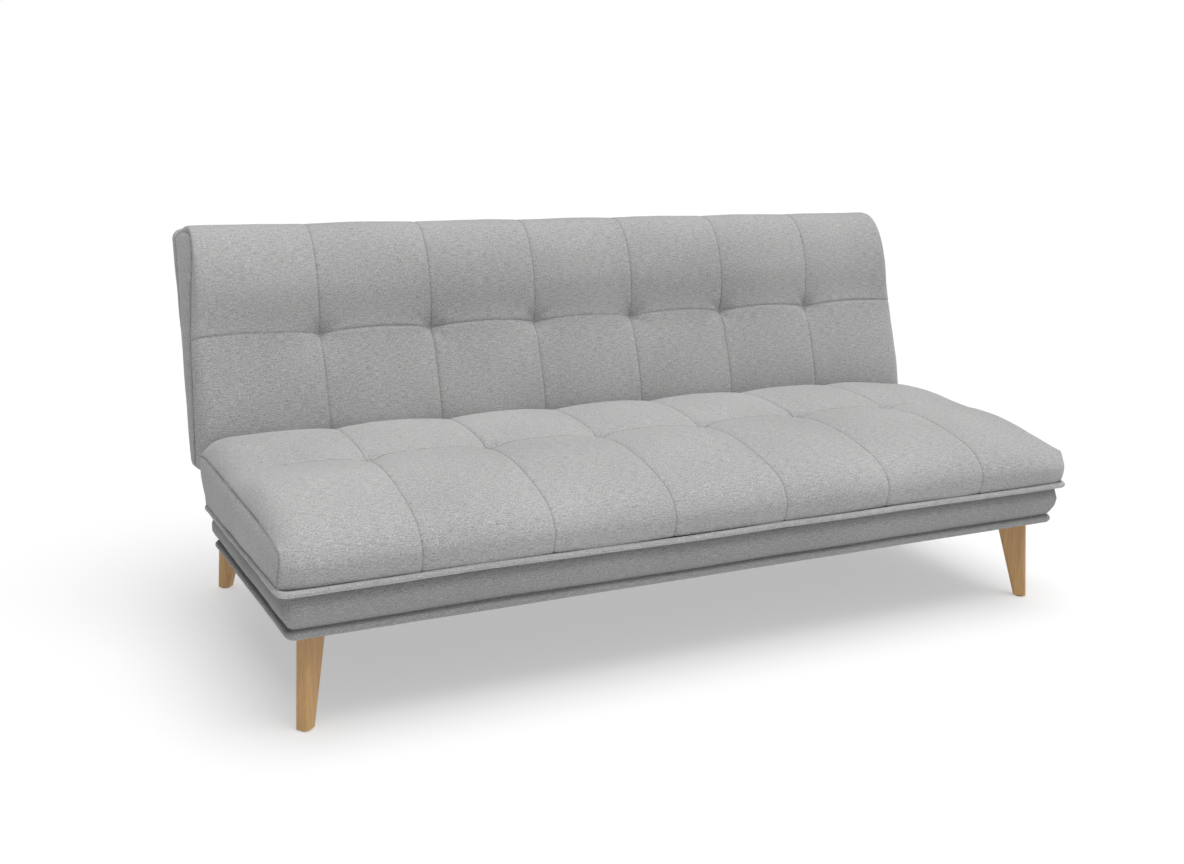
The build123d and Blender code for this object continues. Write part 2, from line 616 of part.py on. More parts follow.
with BuildPart() as pivot_washers:
    for _, sign in SIDES:
        with BuildSketch(back_side(sign * (SEAT_RAIL_INNER + FACE_GAP))):
            with Locations(pivot_centre):
                Circle(WASHER_RADIUS)
                Circle(PIVOT_RADIUS + WASHER_FIT, mode=Mode.SUBTRACT)
        extrude(amount=sign * (plate_inner - SEAT_RAIL_INNER - FACE_GAP))
write(pivot_washers, "pivot_washers")

SPRING_START = ARM_INNER - 7
SPRING_GAP = 0.5  # between the coil and the pin's head
with BuildPart() as pawl_pins:
    for _, sign in SIDES:
        add(discs(back_side, sign, PAWL_PIN,
                  [(SPRING_START - SPRING_GAP - PIN_HEAD, SPRING_START - SPRING_GAP, PIN_HEAD_RADIUS),
                   (SPRING_START - SPRING_GAP, SEAT_RAIL_INNER, PAWL_PIN_RADIUS),
                   (SEAT_RAIL_INNER, plate_inner, PIN_SHOULDER_RADIUS),
                   (plate_inner, BACK_RAIL_INNER, PAWL_PIN_RADIUS)]))
write(pawl_pins, "pawl_pins")

SPRING_RADIUS, SPRING_WIRE, SPRING_PITCH, SPRING_LENGTH = 6.2, 0.6, 1.7, 5.1
with BuildPart() as pawl_springs:
    for _, sign in SIDES:
        pin_plane = back_side(sign * (SPRING_START + SPRING_WIRE + 0.2))
        pin_point = pin_plane.from_local_coords(Vector(*PAWL_PIN, 0))
        with BuildLine() as coil:
            Helix(SPRING_PITCH, SPRING_LENGTH, SPRING_RADIUS, center=pin_point, direction=(sign, 0, 0))
        with BuildSketch(Plane(origin=coil.line @ 0, z_dir=coil.line % 0)):
            Circle(SPRING_WIRE)
        sweep(path=coil.line, is_frenet=True)
write(pawl_springs, "pawl_springs")

with BuildPart() as seat_arm_bolts:
    for _, sign in SIDES:
        for bolt_y in ARM_BOLTS_Y:
            add(discs(seat_side, sign, (bolt_y, ARM_BOLTS_Z - UNDERSIDE_Z),
                      [(ARM_INNER - FIXING_HEAD, ARM_INNER, FIXING_HEAD_RADIUS),
                       (ARM_INNER, SEAT_RAIL_OUTER, FIXING_RADIUS),
                       (SEAT_RAIL_OUTER, SEAT_RAIL_OUTER + FIXING_NUT, FIXING_NUT_RADIUS)]))
write(seat_arm_bolts, "seat_arm_bolts")

with BuildPart() as back_plate_bolts:
    for _, sign in SIDES:
        for centre in PLATE_BOLTS:
            add(discs(back_side, sign, centre,
                      [(plate_inner - FIXING_HEAD, plate_inner, FIXING_HEAD_RADIUS),
                       (plate_inner, BACK_RAIL_OUTER, FIXING_RADIUS),
                       (BACK_RAIL_OUTER, BACK_RAIL_OUTER + FIXING_NUT, FIXING_NUT_RADIUS)]))
write(back_plate_bolts, "back_plate_bolts")
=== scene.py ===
import bisect
import contextlib
import json
import math

import bmesh
import bpy
from mathutils import Matrix, Vector, noise


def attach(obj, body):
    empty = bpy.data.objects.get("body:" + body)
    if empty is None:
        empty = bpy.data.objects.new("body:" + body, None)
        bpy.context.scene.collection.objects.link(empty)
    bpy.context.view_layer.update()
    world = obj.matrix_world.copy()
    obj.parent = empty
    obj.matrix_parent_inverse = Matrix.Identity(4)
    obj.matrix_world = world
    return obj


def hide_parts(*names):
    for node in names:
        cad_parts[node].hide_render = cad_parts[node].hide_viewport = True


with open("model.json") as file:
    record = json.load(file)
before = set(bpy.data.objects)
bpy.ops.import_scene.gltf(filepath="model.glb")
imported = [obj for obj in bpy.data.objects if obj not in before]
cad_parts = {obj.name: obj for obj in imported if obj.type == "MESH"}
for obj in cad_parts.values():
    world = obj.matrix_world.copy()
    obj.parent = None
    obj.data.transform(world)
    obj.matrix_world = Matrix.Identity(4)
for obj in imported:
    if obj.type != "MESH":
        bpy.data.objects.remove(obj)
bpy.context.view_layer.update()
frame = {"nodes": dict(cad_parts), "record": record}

RECORD = frame["record"]
NODES = frame["nodes"]

# ------------------------------------------------------------------ the two upholstered units
# A unit's own axes are x (across), l (from the hinge line out to the far edge) and n (from the
# hinge line up to the face). The seat's l runs forward, the back's runs up.
BACK_TILT = math.radians(13)
TILE_WIDTH = 0.252
TILE_SEAMS = [TILE_WIDTH * (i - 2.5) for i in range(6)]  # the six seams between the seven tiles
FLARE_STARTS, FLARE_FULL = 0.78, 0.87  # how far across the outward flare of the sides begins and is full
FLARE_FRONT, FLARE_REAR = 0.66, 0.07  # where along a unit a fading flare is nothing, and where it is full

recline = next(j for j in RECORD["behaviour"]["joints"] if j["name"] == "back_recline")
PIVOT = Vector(recline["pos_m"])


def smoothstep(value, start, end):
    """0 before start, 1 after end, and a smooth rise between."""
    t = min(1.0, max(0.0, (value - start) / (end - start)))
    return t * t * (3 - 2 * t)


class Unit:
    """The seat or the back: its body, its nodes' prefix, and where its own axes point."""

    def __init__(self, name, body, along, normal, flare, flare_fades):
        self.name = name
        self.body = body
        self.along = Vector(along)
        self.normal = Vector(normal)
        self.flare = flare
        self.flare_fades = flare_fades

    def point(self, x, l, n):
        """A place given in the unit's own axes, in the frame's; the sides flare out."""
        outer = smoothstep(abs(x), FLARE_STARTS, FLARE_FULL)
        if self.flare_fades:
            outer *= min(1.0, max(0.0, (FLARE_FRONT - l) / (FLARE_FRONT - FLARE_REAR)))
        x += math.copysign(self.flare * outer, x)
        return PIVOT + Vector((x, 0, 0)) + self.along * l + self.normal * n

    def box(self, node):
        """Lowest and highest x, l and n of one of the unit's CAD nodes."""
        offsets = [v.co - PIVOT for v in NODES[f"{self.name}_{node}"].data.vertices]
        local = [(o.x, o.dot(self.along), o.dot(self.normal)) for o in offsets]
        return [min(c) for c in zip(*local)], [max(c) for c in zip(*local)]


SEAT = Unit("seat", "base", (0, -1, 0), (0, 0, 1), flare=0.027, flare_fades=True)
BACK = Unit(
    "back",
    "backrest",
    (0, math.sin(BACK_TILT), math.cos(BACK_TILT)),
    (0, -math.cos(BACK_TILT), math.sin(BACK_TILT)),
    flare=0.018,
    flare_fades=False,
)


# ------------------------------------------------------------------ small helpers
def bell(distance, width):
    """1 at zero distance, fading over width."""
    return math.exp(-((distance / width) ** 2))


def ripple(*place):
    """Smooth noise about zero, the same at the same place on every run."""
    return noise.noise(Vector(place))


def graded(start, end, count, finest):
    """count + 1 values from start to end, crowded towards both ends by finest (0 is even)."""
    values = []
    for i in range(count + 1):
        t = i / count
        eased = t * t * (3 - 2 * t)
        values.append(start + (end - start) * (t * (1 - finest) + eased * finest))
    return values


class Curve:
    """A smooth curve through (l, n) points, read by its length."""

    STEPS = 24

    def __init__(self, points):
        self.points = []
        padded = [points[0]] + list(points) + [points[-1]]
        for a, b, c, d in zip(padded, padded[1:], padded[2:], padded[3:]):
            for i in range(self.STEPS):
                self.points.append(self.spline(a, b, c, d, i / self.STEPS))
        self.points.append(points[-1])
        self.lengths = [0.0]
        for p, q in zip(self.points, self.points[1:]):
            self.lengths.append(self.lengths[-1] + math.dist(p, q))
        self.length = self.lengths[-1]

    @staticmethod
    def spline(a, b, c, d, t):
        """Catmull-Rom point between b and c."""
        values = []
        for p, q, r, s in zip(a, b, c, d):
            square = 2 * p - 5 * q + 4 * r - s
            cube = 3 * q - p - 3 * r + s
            values.append(0.5 * (2 * q + (r - p) * t + square * t * t + cube * t**3))
        return tuple(values)

    def at(self, length):
        """Point at a distance along the curve."""
        i = min(max(bisect.bisect_right(self.lengths, length) - 1, 0), len(self.points) - 2)
        span = self.lengths[i + 1] - self.lengths[i]
        t = (length - self.lengths[i]) / span if span else 0.0
        return tuple(p + (q - p) * t for p, q in zip(self.points[i], self.points[i + 1]))

    def nearest(self, point):
        """Distance along the curve of the sampled point nearest to a given one."""
        best = min(range(len(self.points)), key=lambda i: math.dist(self.points[i], point))
        return self.lengths[best]


def add_object(name, data):
    """A new object in the scene."""
    thing = bpy.data.objects.new(name, data)
    bpy.context.scene.collection.objects.link(thing)
    return thing


@contextlib.contextmanager
def edited(mesh):
    """A mesh opened for editing, and written back with all its faces turned outwards."""
    builder = bmesh.new()
    builder.from_mesh(mesh)
    yield builder
    bmesh.ops.recalc_face_normals(builder, faces=builder.faces)
    builder.to_mesh(mesh)
    builder.free()


WELD = 0.00005  # points of two grids that lie closer than this are one point


def mesh_object(name, points, faces, uvs, material):
    """A smooth mesh piece; uvs gives one (u, v) in metres per face corner."""
    mesh = bpy.data.meshes.new(name)
    mesh.from_pydata(points, [], faces)
    layer = mesh.uv_layers.new(name="cloth")
    for polygon, corners in zip(mesh.polygons, uvs):
        for loop, uv in zip(polygon.loop_indices, corners):
            layer.data[loop].uv = uv
    mesh.materials.append(material)
    with edited(mesh) as builder:
        bmesh.ops.remove_doubles(builder, verts=builder.verts, dist=WELD)
        for face in builder.faces:
            face.smooth = True
    return add_object(name, mesh)


def apply_modifiers(piece):
    """Make a piece's modifiers part of its mesh."""
    baked = bpy.data.meshes.new_from_object(piece.evaluated_get(bpy.context.evaluated_depsgraph_get()))
    piece.modifiers.clear()
    piece.data = baked


def subdivide(piece):
    """Smooth a piece by one subdivision, with its UVs kept as they are."""
    modifier = piece.modifiers.new("smooth", "SUBSURF")
    modifier.levels = modifier.render_levels = 1
    modifier.boundary_smooth = "PRESERVE_CORNERS"
    modifier.uv_smooth = "NONE"
    apply_modifiers(piece)


# ------------------------------------------------------------------ hinge slots
# The seat's hinge arms stand in two slots in the back's lower end. A slot's place is in the back's axes.
HINGE_SLOT_X = (0.806, 0.838)
HINGE_SLOT_ALONG = (-0.080, 0.100)
HINGE_SLOT_HEIGHT = (-0.1629, 0.0450)
HINGE_HEAD_SPACE = 0.0395  # radius of the space that each arm's round head turns in
HINGE_HEAD_STEPS = 8


def hinge_slot_outline():
    """The slot's outline, (l, n): a box, rounded about the pivot where the pad's edge rolls over."""
    (start, end), (low, high) = HINGE_SLOT_ALONG, HINGE_SLOT_HEIGHT
    quarter = [math.radians(90 + 90 * i / HINGE_HEAD_STEPS) for i in range(HINGE_HEAD_STEPS + 1)]
    arc = [(HINGE_HEAD_SPACE * math.cos(a), HINGE_HEAD_SPACE * math.sin(a)) for a in quarter]
    return [(start, low), (end, low), (end, high), (0.0, high)] + arc + [(start, 0.0)]


def slot_cutter(side, material):
    """Solid that fills one slot; side is -1 for the left and 1 for the right."""
    profile = hinge_slot_outline()
    count = len(profile)
    ends = [tuple(range(count)), tuple(range(2 * count - 1, count - 1, -1))]
    sides = [(i, count + i, count + (i + 1) % count, (i + 1) % count) for i in range(count)]
    points = [BACK.point(side * x, l, n) for x in HINGE_SLOT_X for l, n in profile]
    mesh = bpy.data.meshes.new("slot_cutter")
    mesh.from_pydata(points, [], ends + sides)
    mesh.materials.append(material)
    with edited(mesh):
        pass  # the edit turns the faces outwards
    return add_object("slot_cutter", mesh)


def cut_hinge_slots(piece):
    """Cut the two slots that the hinge arms swing through out of a piece of the back."""
    cutters = [slot_cutter(side, piece.data.materials[0]) for side in (-1, 1)]
    for cutter in cutters:
        modifier = piece.modifiers.new("slot", "BOOLEAN")
        modifier.operation = "DIFFERENCE"
        modifier.solver = "EXACT"
        modifier.object = cutter
    apply_modifiers(piece)
    for cutter in cutters:
        bpy.data.objects.remove(cutter)


# ------------------------------------------------------------------ materials
SOCKETS = {"specular": "Specular IOR Level"}  # shader sockets whose names are not plain title case


def shade(colour, factor):
    """A colour made darker or lighter."""
    return tuple(min(1.0, c * factor) for c in colour)


class Nodes:
    """Short way to write a material's node tree."""

    def __init__(self, name):
        self.material = bpy.data.materials.new(name)
        self.material.use_nodes = True
        self.tree = self.material.node_tree
        self.shader = self.tree.nodes["Principled BSDF"]

    def add(self, kind, inputs=None, **settings):
        """A new node; an input is a number, a colour or another node's output."""
        node = self.tree.nodes.new(kind)
        for key, value in settings.items():
            setattr(node, key, value)
        for key, value in (inputs or {}).items():
            if isinstance(value, bpy.types.NodeSocket):
                self.tree.links.new(value, node.inputs[key])
            else:
                node.inputs[key].default_value = value
        return node

    def math(self, operation, a, b=0.0):
        """Result of one sum, product or other operation."""
        return self.add("ShaderNodeMath", {0: a, 1: b}, operation=operation).outputs[0]

    def mixed(self, *parts):
        """Sum of sockets, each given as (socket, share)."""
        total, *others = [self.math("MULTIPLY", socket, share) for socket, share in parts]
        for other in others:
            total = self.math("ADD", total, other)
        return total

    def noise(self, vector, scale, detail=2.0, roughness=0.5, stretch=(1, 1, 1)):
        """Cloudy grey noise about 0.5."""
        mapped = self.add("ShaderNodeMapping", {"Vector": vector, "Scale": stretch}).outputs[0]
        inputs = {"Vector": mapped, "Scale": scale, "Detail": detail, "Roughness": roughness}
        return self.add("ShaderNodeTexNoise", inputs).outputs["Fac"]

    def ramp(self, value, *stops):
        """Colour that a value has between (position, colour) stops."""
        node = self.add("ShaderNodeValToRGB", {"Fac": value})
        elements = node.color_ramp.elements
        while len(elements) < len(stops):
            elements.new(0.5)
        for element, (position, colour) in zip(elements, stops):
            element.position = position
            element.color = (*colour, 1)
        return node.outputs["Color"]

    def scaled(self, colour, factor):
        """A colour made darker or lighter from place to place."""
        return self.add("ShaderNodeVectorMath", {0: colour, "Scale": factor}, operation="SCALE").outputs[0]

    def bump(self, height, distance, strength):
        """Normal of a surface with fine relief, distance deep in metres."""
        inputs = {"Height": height, "Distance": distance, "Strength": strength}
        return self.add("ShaderNodeBump", inputs).outputs[0]

    def finish(self, colour, roughness, normal=None, **sockets):
        """The material, with what its shader's sockets are given."""
        for key, value in (("Base Color", colour), ("Roughness", roughness), ("Normal", normal)):
            if isinstance(value, bpy.types.NodeSocket):
                self.tree.links.new(value, self.shader.inputs[key])
            elif value is not None:
                self.shader.inputs[key].default_value = value
        for key, value in sockets.items():
            self.shader.inputs[SOCKETS.get(key, key.replace("_", " ").title())].default_value = value
        return self.material


YARN = 0.0013  # pitch of the plain weave
SLUBS, STREAKS, WARP_SLUBS = (220, 980, 1), (55, 520, 1), (980, 170, 1)  # flecks per metre, both ways
DARK_YARN, LIGHT_YARN = 0.55, 1.48  # tones of the melange, in shares of the cloth's colour
STITCH = 0.0045  # pitch of the stitches
SEAM_SHADE, STITCH_SHADE = 0.30, 0.09  # how much darker the 'seam' attribute makes the cloth, at seam lines and in the painted shade at tufts, and how much that varies at each stitch


def fabric(name, colour, seam_and_tuft_shade_attribute=False):
    """Light grey melange plain weave: fine slubs along the weft, speckled yarn, soft sheen."""
    n = Nodes(name)
    cloth = n.add("ShaderNodeUVMap", uv_map="cloth").outputs[0]
    slub = n.noise(cloth, 1.0, 3.0, 0.6, SLUBS)
    streak = n.noise(cloth, 1.0, 2.0, 0.5, STREAKS)
    warp_slub = n.noise(cloth, 1.0, 2.0, 0.6, WARP_SLUBS)
    speckle = n.noise(cloth, 800.0, 2.0, 0.7)
    wear = n.noise(cloth, 3.2, 2.0, 0.5)
    tone = n.mixed((slub, 0.40), (speckle, 0.22), (warp_slub, 0.14), (streak, 0.18), (wear, 0.06))
    base = n.ramp(tone, (0.41, shade(colour, DARK_YARN)), (0.5, colour), (0.59, shade(colour, LIGHT_YARN)))
    u, v, _ = n.add("ShaderNodeSeparateXYZ", {"Vector": cloth}).outputs
    if seam_and_tuft_shade_attribute:
        # darkens the cloth by the 'seam' attribute: seam lines with their stitches, and painted shade at the
        # tufts
        seam = n.add("ShaderNodeAttribute", attribute_name="seam").outputs["Fac"]
        turns = 2 * math.pi / STITCH
        run = n.mixed((u, turns), (v, turns))
        stitch = n.math("ADD", n.math("MULTIPLY", n.math("SINE", run), STITCH_SHADE), SEAM_SHADE)
        base = n.scaled(base, n.math("SUBTRACT", 1.0, n.math("MULTIPLY", seam, stitch)))
    turns = math.pi / YARN
    warp = n.math("SINE", n.math("MULTIPLY", u, turns))
    weft = n.math("SINE", n.math("MULTIPLY", v, turns))
    weave = n.math("MULTIPLY", warp, weft)
    normal = n.bump(n.mixed((weave, 0.5), (slub, 0.3)), 0.0004, 0.4)
    rough = n.math("ADD", n.math("MULTIPLY", speckle, 0.14), 0.84)
    return n.finish(base, rough, normal, sheen_weight=0.12, sheen_roughness=0.5, specular=0.12)


def beech(name, light, dark, coat):
    """Straight-grained beech with fine darker pores, satin lacquer."""
    n = Nodes(name)
    place = n.add("ShaderNodeTexCoord").outputs["Object"]
    figure = n.noise(place, 1.0, 4.0, 0.62, (26, 26, 2.2))
    grain = n.noise(place, 1.0, 3.0, 0.6, (240, 240, 7))
    pores = n.noise(place, 1.0, 1.0, 0.5, (900, 900, 38))
    flecks = n.math("GREATER_THAN", pores, 0.66)
    tone = n.mixed((figure, 0.6), (grain, 0.4))
    base = n.ramp(tone, (0.34, dark), (0.52, light), (0.7, shade(light, 1.12)))
    base = n.scaled(base, n.math("SUBTRACT", 1.0, n.math("MULTIPLY", flecks, 0.16)))
    rough = n.math("ADD", n.math("MULTIPLY", grain, 0.12), 0.36)
    normal = n.bump(n.math("ADD", grain, pores), 0.0002, 0.4)
    return n.finish(base, rough, normal, coat_weight=coat, coat_roughness=0.25)


def pine(name):
    """Planed, unlacquered pine with wide soft rings."""
    n = Nodes(name)
    place = n.add("ShaderNodeTexCoord").outputs["Object"]
    rings = n.noise(place, 1.0, 3.0, 0.5, (5, 34, 34))
    fibre = n.noise(place, 1.0, 3.0, 0.6, (30, 420, 420))
    tone = n.mixed((rings, 0.7), (fibre, 0.3))
    late_wood, early_wood, palest = (0.50, 0.31, 0.14), (0.70, 0.50, 0.27), (0.80, 0.63, 0.39)
    base = n.ramp(tone, (0.38, late_wood), (0.5, early_wood), (0.66, palest))
    rough = n.math("ADD", n.math("MULTIPLY", fibre, 0.2), 0.55)
    return n.finish(base, rough, n.bump(fibre, 0.0003, 0.5))


def coated_steel(name, colour, roughness, metallic):
    """Powder coat or zinc: a slight orange peel, and rubbed lighter patches."""
    n = Nodes(name)
    place = n.add("ShaderNodeTexCoord").outputs["Object"]
    peel = n.noise(place, 900.0, 2.0, 0.5)
    cloud = n.noise(place, 14.0, 4.0, 0.6)
    base = n.ramp(cloud, (0.35, shade(colour, 0.8)), (0.65, shade(colour, 1.2)))
    rough = n.math("ADD", n.math("MULTIPLY", cloud, 0.25), roughness - 0.12)
    return n.finish(base, rough, n.bump(peel, 0.0001, 0.5), metallic=metallic)


def moulded(name, colour, roughness):
    """Rubber, plastic or felt with a fine matt grain."""
    n = Nodes(name)
    place = n.add("ShaderNodeTexCoord").outputs["Object"]
    grain = n.noise(place, 1400.0, 2.0, 0.6)
    cloud = n.noise(place, 40.0, 3.0, 0.6)
    base = n.ramp(cloud, (0.3, shade(colour, 0.75)), (0.7, shade(colour, 1.3)))
    return n.finish(base, roughness, n.bump(grain, 0.0002, 0.6))


def non_woven(name):
    """Black spun-bonded dust cover with its pattern of small welded points."""
    n = Nodes(name)
    place = n.add("ShaderNodeTexCoord").outputs["Object"]
    points = n.add("ShaderNodeTexVoronoi", {"Vector": place, "Scale": 420.0, "Randomness": 0.25})
    dots = points.outputs["Distance"]
    fibres = n.noise(place, 260.0, 4.0, 0.7)
    base = n.ramp(fibres, (0.3, (0.012, 0.012, 0.013)), (0.7, (0.045, 0.045, 0.048)))
    return n.finish(base, 0.85, n.bump(dots, 0.0004, 0.7))


GREY = (0.381, 0.380, 0.378)
cover_fabric = fabric("cover_fabric", GREY, seam_and_tuft_shade_attribute=True)
# painted light: the piping's cloth is the cover's cloth made a little lighter, for the light on the cord's
# lit top
piping_fabric = fabric("piping_fabric", shade(GREY, 1.06))
# painted shade: the band's and welt's cloth is the cover's cloth made darker, to stand for the shade under
# the piping
band_fabric = fabric("band_fabric", shade(GREY, 0.77))
rear_fabric = fabric("rear_fabric", shade(GREY, 0.94))

SLOT_MATERIALS = {
    "beech_leg": beech("beech_leg", (0.545, 0.318, 0.118), (0.42, 0.218, 0.070), 0.3),
    "beech_slat": beech("beech_slat", (0.66, 0.47, 0.27), (0.50, 0.32, 0.16), 0.1),
    "pine_frame": pine("pine_frame"),
    "black_steel": coated_steel("black_steel", (0.018, 0.018, 0.02), 0.42, 0.0),
    "zinc_steel": coated_steel("zinc_steel", (0.17, 0.17, 0.165), 0.5, 1.0),
    "black_rubber": moulded("black_rubber", (0.02, 0.02, 0.02), 0.75),
    "black_plastic": moulded("black_plastic", (0.022, 0.022, 0.023), 0.5),
    "felt_glide": moulded("felt_glide", (0.07, 0.05, 0.035), 0.9),
    "dust_cover": non_woven("dust_cover"),
}
for subpart in RECORD["subparts"]:
    if subpart["material_slot"] in SLOT_MATERIALS:
        node_mesh = NODES[subpart["node"]].data
        node_mesh.materials.clear()
        node_mesh.materials.append(SLOT_MATERIALS[subpart["material_slot"]])

# ------------------------------------------------------------------ tufted pads
EDGE_ARC = 1.15  # length of the roll over each side, in edge rounds
CORNER_ROUND = 0.012  # how far the front and rear walls turn back at their ends
TILE_POWER = 2.2  # how flat-topped the crown of a tile is
OUTER_DROP = 0.55  # how far an outer tile's crown has fallen at its outer side
ROW_DIP, ROW_DIP_WIDTH = 0.55, 0.06  # how much of the crown the row seam takes away, and over what width
FRONT_DROP, FRONT_DROP_LENGTH = 0.8, 0.08  # and the front wall, from how far behind its corner
FRONT_CALM = 0.35  # how much lower the crown is at the front corner than at the row seam
BOW_WIDTH = 0.11  # width along the pad over which the row seam's bow fades away
SEAM_GROOVE = 0.0017
GROOVE_WIDTH = 0.0026
THREAD_WIDTH = 0.0013
TUFT_WIDTH = 0.020
TUFT_PAINTED_SHADE = 0.007  # radius of the painted shade darkened into the cloth in the hollow at a tuft
TUFT_HOLLOW = 0.055  # width of the shallow hollow round each tuft
PULL_FOLDS = 7  # small folds that run out from a tuft
PULL_DEPTH = 0.0011
PULL_RADIUS, PULL_SPREAD = 0.03, 0.02  # how far from the tuft the folds are deepest, and their spread
PULL_TURN = 9  # turns each tuft's folds by a different amount
GUSSET_SLACK = 0.0010
FOOT_INSET = 0.004  # how far inside the piping the pad's foot ends
WALL_STEPS, REAR_STEPS, FRONT_STEPS, TILE_STEPS = 10, 26, 30, 22
ROW_CROWDING, TILE_CROWDING = 0.9, 0.92  # how strongly the grid's lines crowd at the seams


def interpolate(value, stops):
    """Straight-line reading of a list of (position, value) stops."""
    if value <= stops[0][0]:
        return stops[0][1]
    for (p, v), (q, w) in zip(stops, stops[1:]):
        if value <= q:
            return v + (w - v) * (value - p) / (q - p)
    return stops[-1][1]


def grid_faces(width, height, start=0):
    """Corner numbers of the four-sided faces of a grid whose points are numbered from start."""
    for r in range(height - 1):
        for c in range(width - 1):
            first = start + r * width + c
            yield [first, first + 1, first + width + 1, first + width]


class Grids:
    """Grids of points that together make one mesh, with how much each point's colour is darkened by seam
    lines and painted tuft shade.
    """

    def __init__(self):
        self.points = []
        self.seam_and_tuft_shades = []
        self.faces = []
        self.uvs = []

    def add(self, grid, seam_and_tuft_shade_grid, uv_grid):
        """Add one grid of points, with its darkening by seam lines and painted tuft shade, and its places on
        the flat cloth.
        """
        start = len(self.points)
        width = len(grid[0])
        flat_uvs = []
        for row, seam_and_tuft_shade_row, uv_row in zip(grid, seam_and_tuft_shade_grid, uv_grid):
            self.points.extend(row)
            self.seam_and_tuft_shades.extend(seam_and_tuft_shade_row)
            flat_uvs.extend(uv_row)
        for face in grid_faces(width, len(grid), start):
            self.faces.append(face)
            self.uvs.append([flat_uvs[corner - start] for corner in face])


class Pad:
    """A tufted pad: its face panel rolls over the sides to a seam above each side gusset.

    Tuft, corner and rear are points of the profile: on the row seam, where the face turns down
    into the front wall, and where it turns down into the rear wall.
    """

    def __init__(
        self,
        unit,
        profile,
        tuft,
        corner,
        rear,
        seam_level,
        seam_reach,
        crown,
        tuft_depth,
        bow,
        bulge,
        edge_round,
        edge_turn,
        side_fall,
        row_fade,
    ):
        self.unit = unit
        self.curve = Curve(profile)
        self.tuft_at = self.curve.nearest(tuft)
        self.corner_at = self.curve.nearest(corner)
        self.rear_at = self.curve.nearest(rear)
        self.seam_level = seam_level
        self.seam_reach = seam_reach
        self.crown = crown
        self.tuft_depth = tuft_depth
        self.bow = bow
        self.bulge = bulge
        self.foot = profile[0][1]
        self.half = unit.box("cover")[1][0]
        self.foot_half = unit.box("piping")[1][0] - FOOT_INSET
        self.edge_round = edge_round
        self.edge_turn = math.radians(edge_turn)
        self.side_fall = side_fall
        self.row_fade = row_fade
        self.flat = self.half - edge_round
        self.reach = self.flat + edge_round * EDGE_ARC
        self.seams = [-self.reach] + TILE_SEAMS + [self.reach]

    # -- where the rows and columns of the face run
    def columns(self):
        """Positions across the face, crowded at each seam; the last ones roll over the side."""
        values = []
        for start, end in zip(self.seams, self.seams[1:]):
            values += graded(start, end, TILE_STEPS, TILE_CROWDING)[:-1]
        return values + [self.reach]

    def rows(self):
        """Positions along the face: rear wall, rear tiles, front tiles, front wall."""
        parts = [
            graded(0, self.rear_at, WALL_STEPS, 0.0),
            graded(self.rear_at, self.tuft_at, REAR_STEPS, ROW_CROWDING),
            graded(self.tuft_at, self.corner_at, FRONT_STEPS, ROW_CROWDING),
            graded(self.corner_at, self.curve.length, WALL_STEPS, 0.0),
        ]
        values = [0.0]
        for part in parts:
            values += part[1:]
        return values

    def tile(self, q):
        """Place across the tile that holds q: 0 and 1 are its seams."""
        i = min(max(bisect.bisect_right(self.seams, q) - 1, 0), len(self.seams) - 2)
        return (q - self.seams[i]) / (self.seams[i + 1] - self.seams[i])

    # -- shape
    def side_seam(self, s):
        """(x, l, n) of the seam that joins the face to the side gusset."""
        l, n = self.curve.at(s)
        middle = 0.5 * (self.rear_at + self.corner_at)
        half_length = 0.5 * (self.corner_at - self.rear_at)
        inward = CORNER_ROUND * smoothstep(abs(s - middle), 0.6 * half_length, half_length)
        level = max(min(n, interpolate(l, self.seam_level)), self.foot)
        down = smoothstep(min(n, level), self.seam_level[-1][1], self.foot)
        x = interpolate(l, self.seam_reach)
        return x + (self.foot_half - x) * down, l + (inward if s < middle else -inward), level

    def base_point(self, q, s):
        """Point of the face with no tufting, in the unit's axes."""
        a = self.tile(q)
        rise = self.bow * (1 - abs(2 * a - 1) ** 2) * bell(s - self.tuft_at, BOW_WIDTH)
        l, n = self.curve.at(s + rise)
        fall = self.side_fall[q > 0] * smoothstep(abs(q), TILE_SEAMS[-1], self.reach)
        n -= fall * smoothstep(n, self.foot, self.foot + 0.1)
        if abs(q) <= self.flat:
            return Vector((q, l, n))
        turn = self.edge_turn * min(1.0, (abs(q) - self.flat) / (self.reach - self.flat))
        seam_x, seam_l, seam_n = self.side_seam(s)
        out = math.sin(turn) / math.sin(self.edge_turn)
        down = (1 - math.cos(turn)) / (1 - math.cos(self.edge_turn))
        x = self.flat + (seam_x - self.flat) * out
        return Vector((math.copysign(x, q), l + (seam_l - l) * down, n + (seam_n - n) * down))

    def crown_height(self, q, s):
        """How far the filling lifts a tile over the base."""
        a = self.tile(q)
        fullness = 1 - abs(2 * a - 1) ** TILE_POWER
        if abs(q) > TILE_SEAMS[-1] and (a > 0.5) == (q > 0):
            fullness = 1 - OUTER_DROP * abs(2 * a - 1) ** TILE_POWER
        along = 1 - ROW_DIP * bell(s - self.tuft_at, ROW_DIP_WIDTH)
        along *= 1 - FRONT_DROP * smoothstep(s, self.corner_at - FRONT_DROP_LENGTH, self.curve.length)
        along *= smoothstep(s, 0.0, self.rear_at) * smoothstep(self.reach - abs(q), 0.0, self.edge_round)
        crown = self.crown * (1 - FRONT_CALM * smoothstep(s, self.tuft_at, self.corner_at))
        return crown * fullness * along

    def tuft_height(self, row_distance, column_distance, radius, turn):
        """How far a tuft draws the cloth in, with the small folds that run out from it."""
        pinch = 0.7 * bell(radius, TUFT_WIDTH) + 0.3 * bell(radius, TUFT_HOLLOW)
        folds = math.cos(PULL_FOLDS * math.atan2(row_distance, column_distance) + turn)
        reach = bell(radius - PULL_RADIUS, PULL_SPREAD) * smoothstep(radius, 0.0, PULL_SPREAD)
        return PULL_DEPTH * folds * reach - self.tuft_depth * pinch

